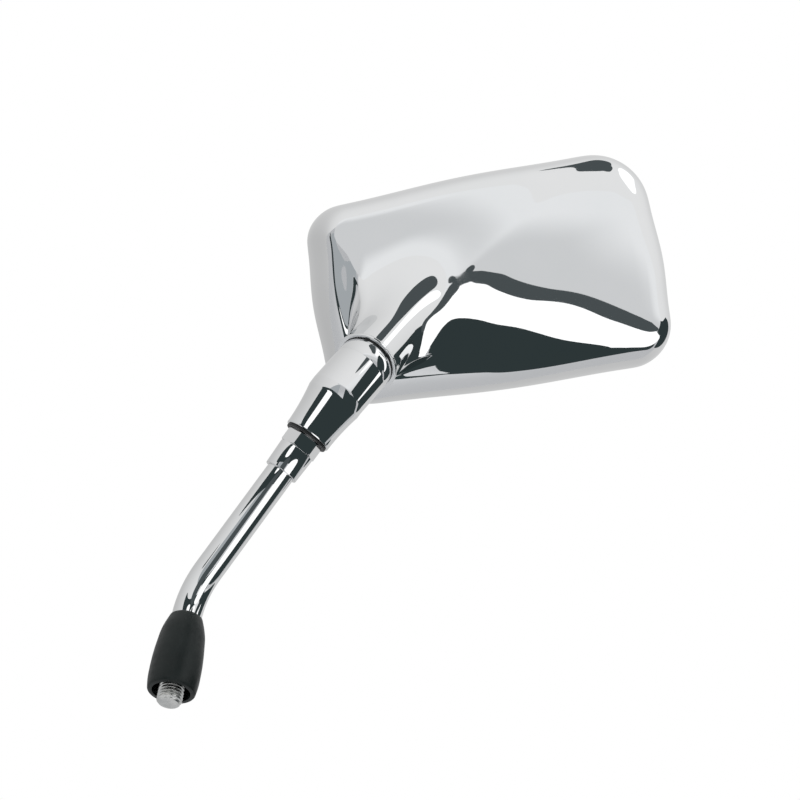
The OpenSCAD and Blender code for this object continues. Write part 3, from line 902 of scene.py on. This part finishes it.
def faded(name, low, high, dark, light):
    """A card glow, a painted reflection that brightens upwards between two heights, in metres."""
    material = paint(name, light)
    tree = material.node_tree
    place = tree.nodes.new("ShaderNodeTexCoord")
    split = tree.nodes.new("ShaderNodeSeparateXYZ")
    tree.links.new(place.outputs["Object"], split.inputs["Vector"])
    rise = tree.nodes.new("ShaderNodeMapRange")
    rise.interpolation_type = "SMOOTHSTEP"
    rise.inputs["From Min"].default_value = low
    rise.inputs["From Max"].default_value = high
    tree.links.new(split.outputs["Z"], rise.inputs["Value"])
    mix = tree.nodes.new("ShaderNodeMix")
    mix.data_type = "RGBA"
    mix.inputs["A"].default_value = (*dark, 1)
    mix.inputs["B"].default_value = (*light, 1)
    tree.links.new(rise.outputs["Result"], mix.inputs["Factor"])
    tree.links.new(mix.outputs["Result"], tree.nodes["Emission"].inputs["Color"])
    return material


# Glows of the cards, painted reflections: black, dark, white, grey, and one that brightens upwards; the cards
# light nothing.
PAINTED_REFLECTION_BLACK = paint("painted_reflection_black", (0.036, 0.050, 0.052))
PAINTED_REFLECTION_DARK = paint("painted_reflection_dark", (0.085, 0.10, 0.105))
PAINTED_REFLECTION_WHITE = paint("painted_reflection_white", (1.5, 1.5, 1.5))
PAINTED_REFLECTION_GREY = paint("painted_reflection_grey", (0.47, 0.50, 0.52))
PAINTED_REFLECTION_FADE = faded("painted_reflection_fade", 0.150, 0.205, (0.80, 0.81, 0.82), (1.04, 1.05, 1.06))


def card(name, middle, azimuth, height, distance, one_side, other_side, finish):
    """A flat glowing card cut between two lines, a painted reflection which only reflections show and which
    lights nothing.

    It faces the point middle from a direction and a distance, and the lines are
    measured on it from there, to the right and up, in millimetres.
    """
    out = direction(-height, azimuth)
    right = out.cross(Vector((0, 0, 1))).normalized()
    face = Matrix((right, right.cross(out), out)).transposed().to_4x4()
    bm = bmesh.new()
    line = [bm.verts.new((x, y, 0)) for x, y in one_side]
    edges = [bm.edges.new((line[i - 1], line[i])) for i in range(1, len(line))]
    extruded(bm, line, edges, [(x, y, 0) for x, y in other_side])
    place = shift(*middle) @ face @ shift(z=distance)
    bmesh.ops.transform(bm, matrix=Matrix.Scale(METRES, 4) @ place, verts=bm.verts)
    made = placed(bm, name, finish)
    subdivided(made, "curve", 3)
    # The card is a painted reflection: seen in reflections only, it lights nothing and casts no shadow.
    made.visible_camera = made.visible_diffuse = made.visible_shadow = False
    made.visible_transmission = made.visible_volume_scatter = False


def cards_round_the_housing():
    """Glowing cards that paint reflections on the housing: the dark bow, the bright lens highlight and the
    dark patch on the back, and the light and dark reflections on its sides and edges.
    """
    back = (60, 30, 140)
    card("mast", back, -28, -8, 500,
         [(-100, 1150), (-150, 900), (-125, 641), (-100, 497), (-95, 373), (-78, 262), (-48, 222)],
         [(120, 1150), (180, 900), (211, 743), (132, 482), (72, 336), (40, 262), (14, 222)], PAINTED_REFLECTION_DARK)
    card("bow", back, -28, -8, 80,
         [(-4, 59), (-4, 56), (-7, 54), (-15, 53), (-25, 51.5), (-36, 52), (-46, 53), (-54, 55),
          (-63, 56.5), (-74, 57), (-87, 57), (-101, 56), (-122, 54)],
         [(-9, 56), (-9, 52), (-10, 50), (-14, 47), (-20, 45.5), (-27, 44.5), (-37, 44.5), (-45, 47),
          (-54, 49.5), (-65, 51), (-76, 50.5), (-88, 49.5), (-103, 48)], PAINTED_REFLECTION_DARK)
    card("lens", back, -28, -8, 84,
         [(-4, 55), (-9, 52), (-18, 50), (-29, 49.5), (-46, 51), (-71, 55), (-87, 54), (-120, 50),
          (-200, 40)],
         [(-22, 30), (-20, 29.5), (-24, 30.5), (-30, 31), (-36, 31), (-53, 27.5), (-76, 17), (-107, 4),
          (-220, -40)], PAINTED_REFLECTION_WHITE)
    card("shade", back, -28, -8, 87,
         [(-4, 22), (-14, 32), (-24, 36), (-36, 36), (-52, 34), (-75, 26), (-105, 14)],
         [(-8, -10), (-20, -24), (-40, -52), (-60, -75), (-80, -90), (-100, -95), (-130, -95)], PAINTED_REFLECTION_BLACK)
    card("sky", back, -28, -8, 900,
         [(-110, 300), (-250, 900), (-420, 1300), (-700, 1500)],
         [(-350, 330), (-450, 600), (-600, 900), (-800, 1300)], PAINTED_REFLECTION_WHITE)
    card("wing", back, -28, -8, 600,
         [(-150, 60), (-300, 110), (-480, 170), (-700, 300), (-900, 480), (-1100, 620), (-1400, 600)],
         [(-200, 40), (-300, 20), (-420, -50), (-520, -60), (-800, 40), (-1200, 100), (-1500, 300)],
         PAINTED_REFLECTION_BLACK)
    card("ground", back, 20, -38, 750,
         [(1020, 381), (810, 356), (627, 254), (403, 173), (130, 240), (-138, 315), (-656, 311),
          (-1365, 74)],
         [(789, 155), (480, -30), (227, -170), (39, -245), (-158, -253), (-483, -302), (-957, -332),
          (-1344, -250)], PAINTED_REFLECTION_BLACK)
    card("veil", back, -28, -8, 450,
         [(330, -20), (90, 10), (0, 20), (-100, 10), (-330, -20)],
         [(330, 170), (90, 158), (0, 155), (-100, 158), (-330, 170)], PAINTED_REFLECTION_FADE)
    card("side_line", back, -95, -18, 600,
         [(-70, 190), (-90, 0), (-130, -150), (-170, -320)],
         [(30, 190), (60, 0), (110, -150), (170, -320)], PAINTED_REFLECTION_BLACK)
    card("side", back, -67, -17, 650,
         [(-180, 150), (-190, 40), (-190, -60), (-180, -160)],
         [(200, 150), (190, 40), (190, -60), (200, -160)], PAINTED_REFLECTION_GREY)
    card("right_line", back, 55, 8, 800,
         [(-370, 250), (0, 270), (370, 240), (780, 20)],
         [(-370, -230), (0, -240), (370, -230), (780, -120)], PAINTED_REFLECTION_BLACK)


def cards_by_the_arm_and_tube():
    """Glowing cards that paint reflections: the white highlight patch and the dark side of the arm's leg, and
    the light and dark sides of the tube.
    """
    arm_middle = (55, 0, 100)
    card("arm_spot", arm_middle, -40, -20, 76,
         [(36, 15), (58, 22), (82, 30)],
         [(36, -8), (55, -3), (78, 6)], PAINTED_REFLECTION_WHITE)
    card("arm_shade", arm_middle, -40, -20, 80,
         [(-120, -38), (-60, -18), (-20, -4), (20, 14), (60, 32), (110, 52), (230, 100)],
         [(-120, -90), (-60, -58), (-20, -38), (20, -24), (60, -10), (110, 8), (230, 50)], PAINTED_REFLECTION_BLACK)
    tube_middle = (35, 0, 65)
    card("tube_light", tube_middle, -25, -30, 60,
         [(14, 28), (8, 10), (4, -10), (2, -45)],
         [(-40, 24), (-44, 6), (-46, -12), (-48, -45)], PAINTED_REFLECTION_WHITE)
    card("tube_shade", tube_middle, -25, -30, 62,
         [(62, 40), (64, 20), (62, 0), (60, -30)],
         [(16, 34), (18, 14), (16, -8), (14, -45)], PAINTED_REFLECTION_DARK)


def floor():
    """A plain pale floor, well below the mirror, which hangs free as in the photo."""
    bm = bmesh.new()
    bmesh.ops.create_grid(bm, x_segments=1, y_segments=1, size=FLOOR_REACH, matrix=shift(*FLOOR_AT))
    material, tree, shade = shader("floor_paint")
    shade.inputs["Base Color"].default_value = FLOOR_TONE
    shade.inputs["Roughness"].default_value = 0.8
    placed(bm, "floor", material)


camera()
studio()
cards_round_the_housing()
cards_by_the_arm_and_tube()
floor()
key_lamp()

bpy.context.scene.view_settings.view_transform = "Standard"
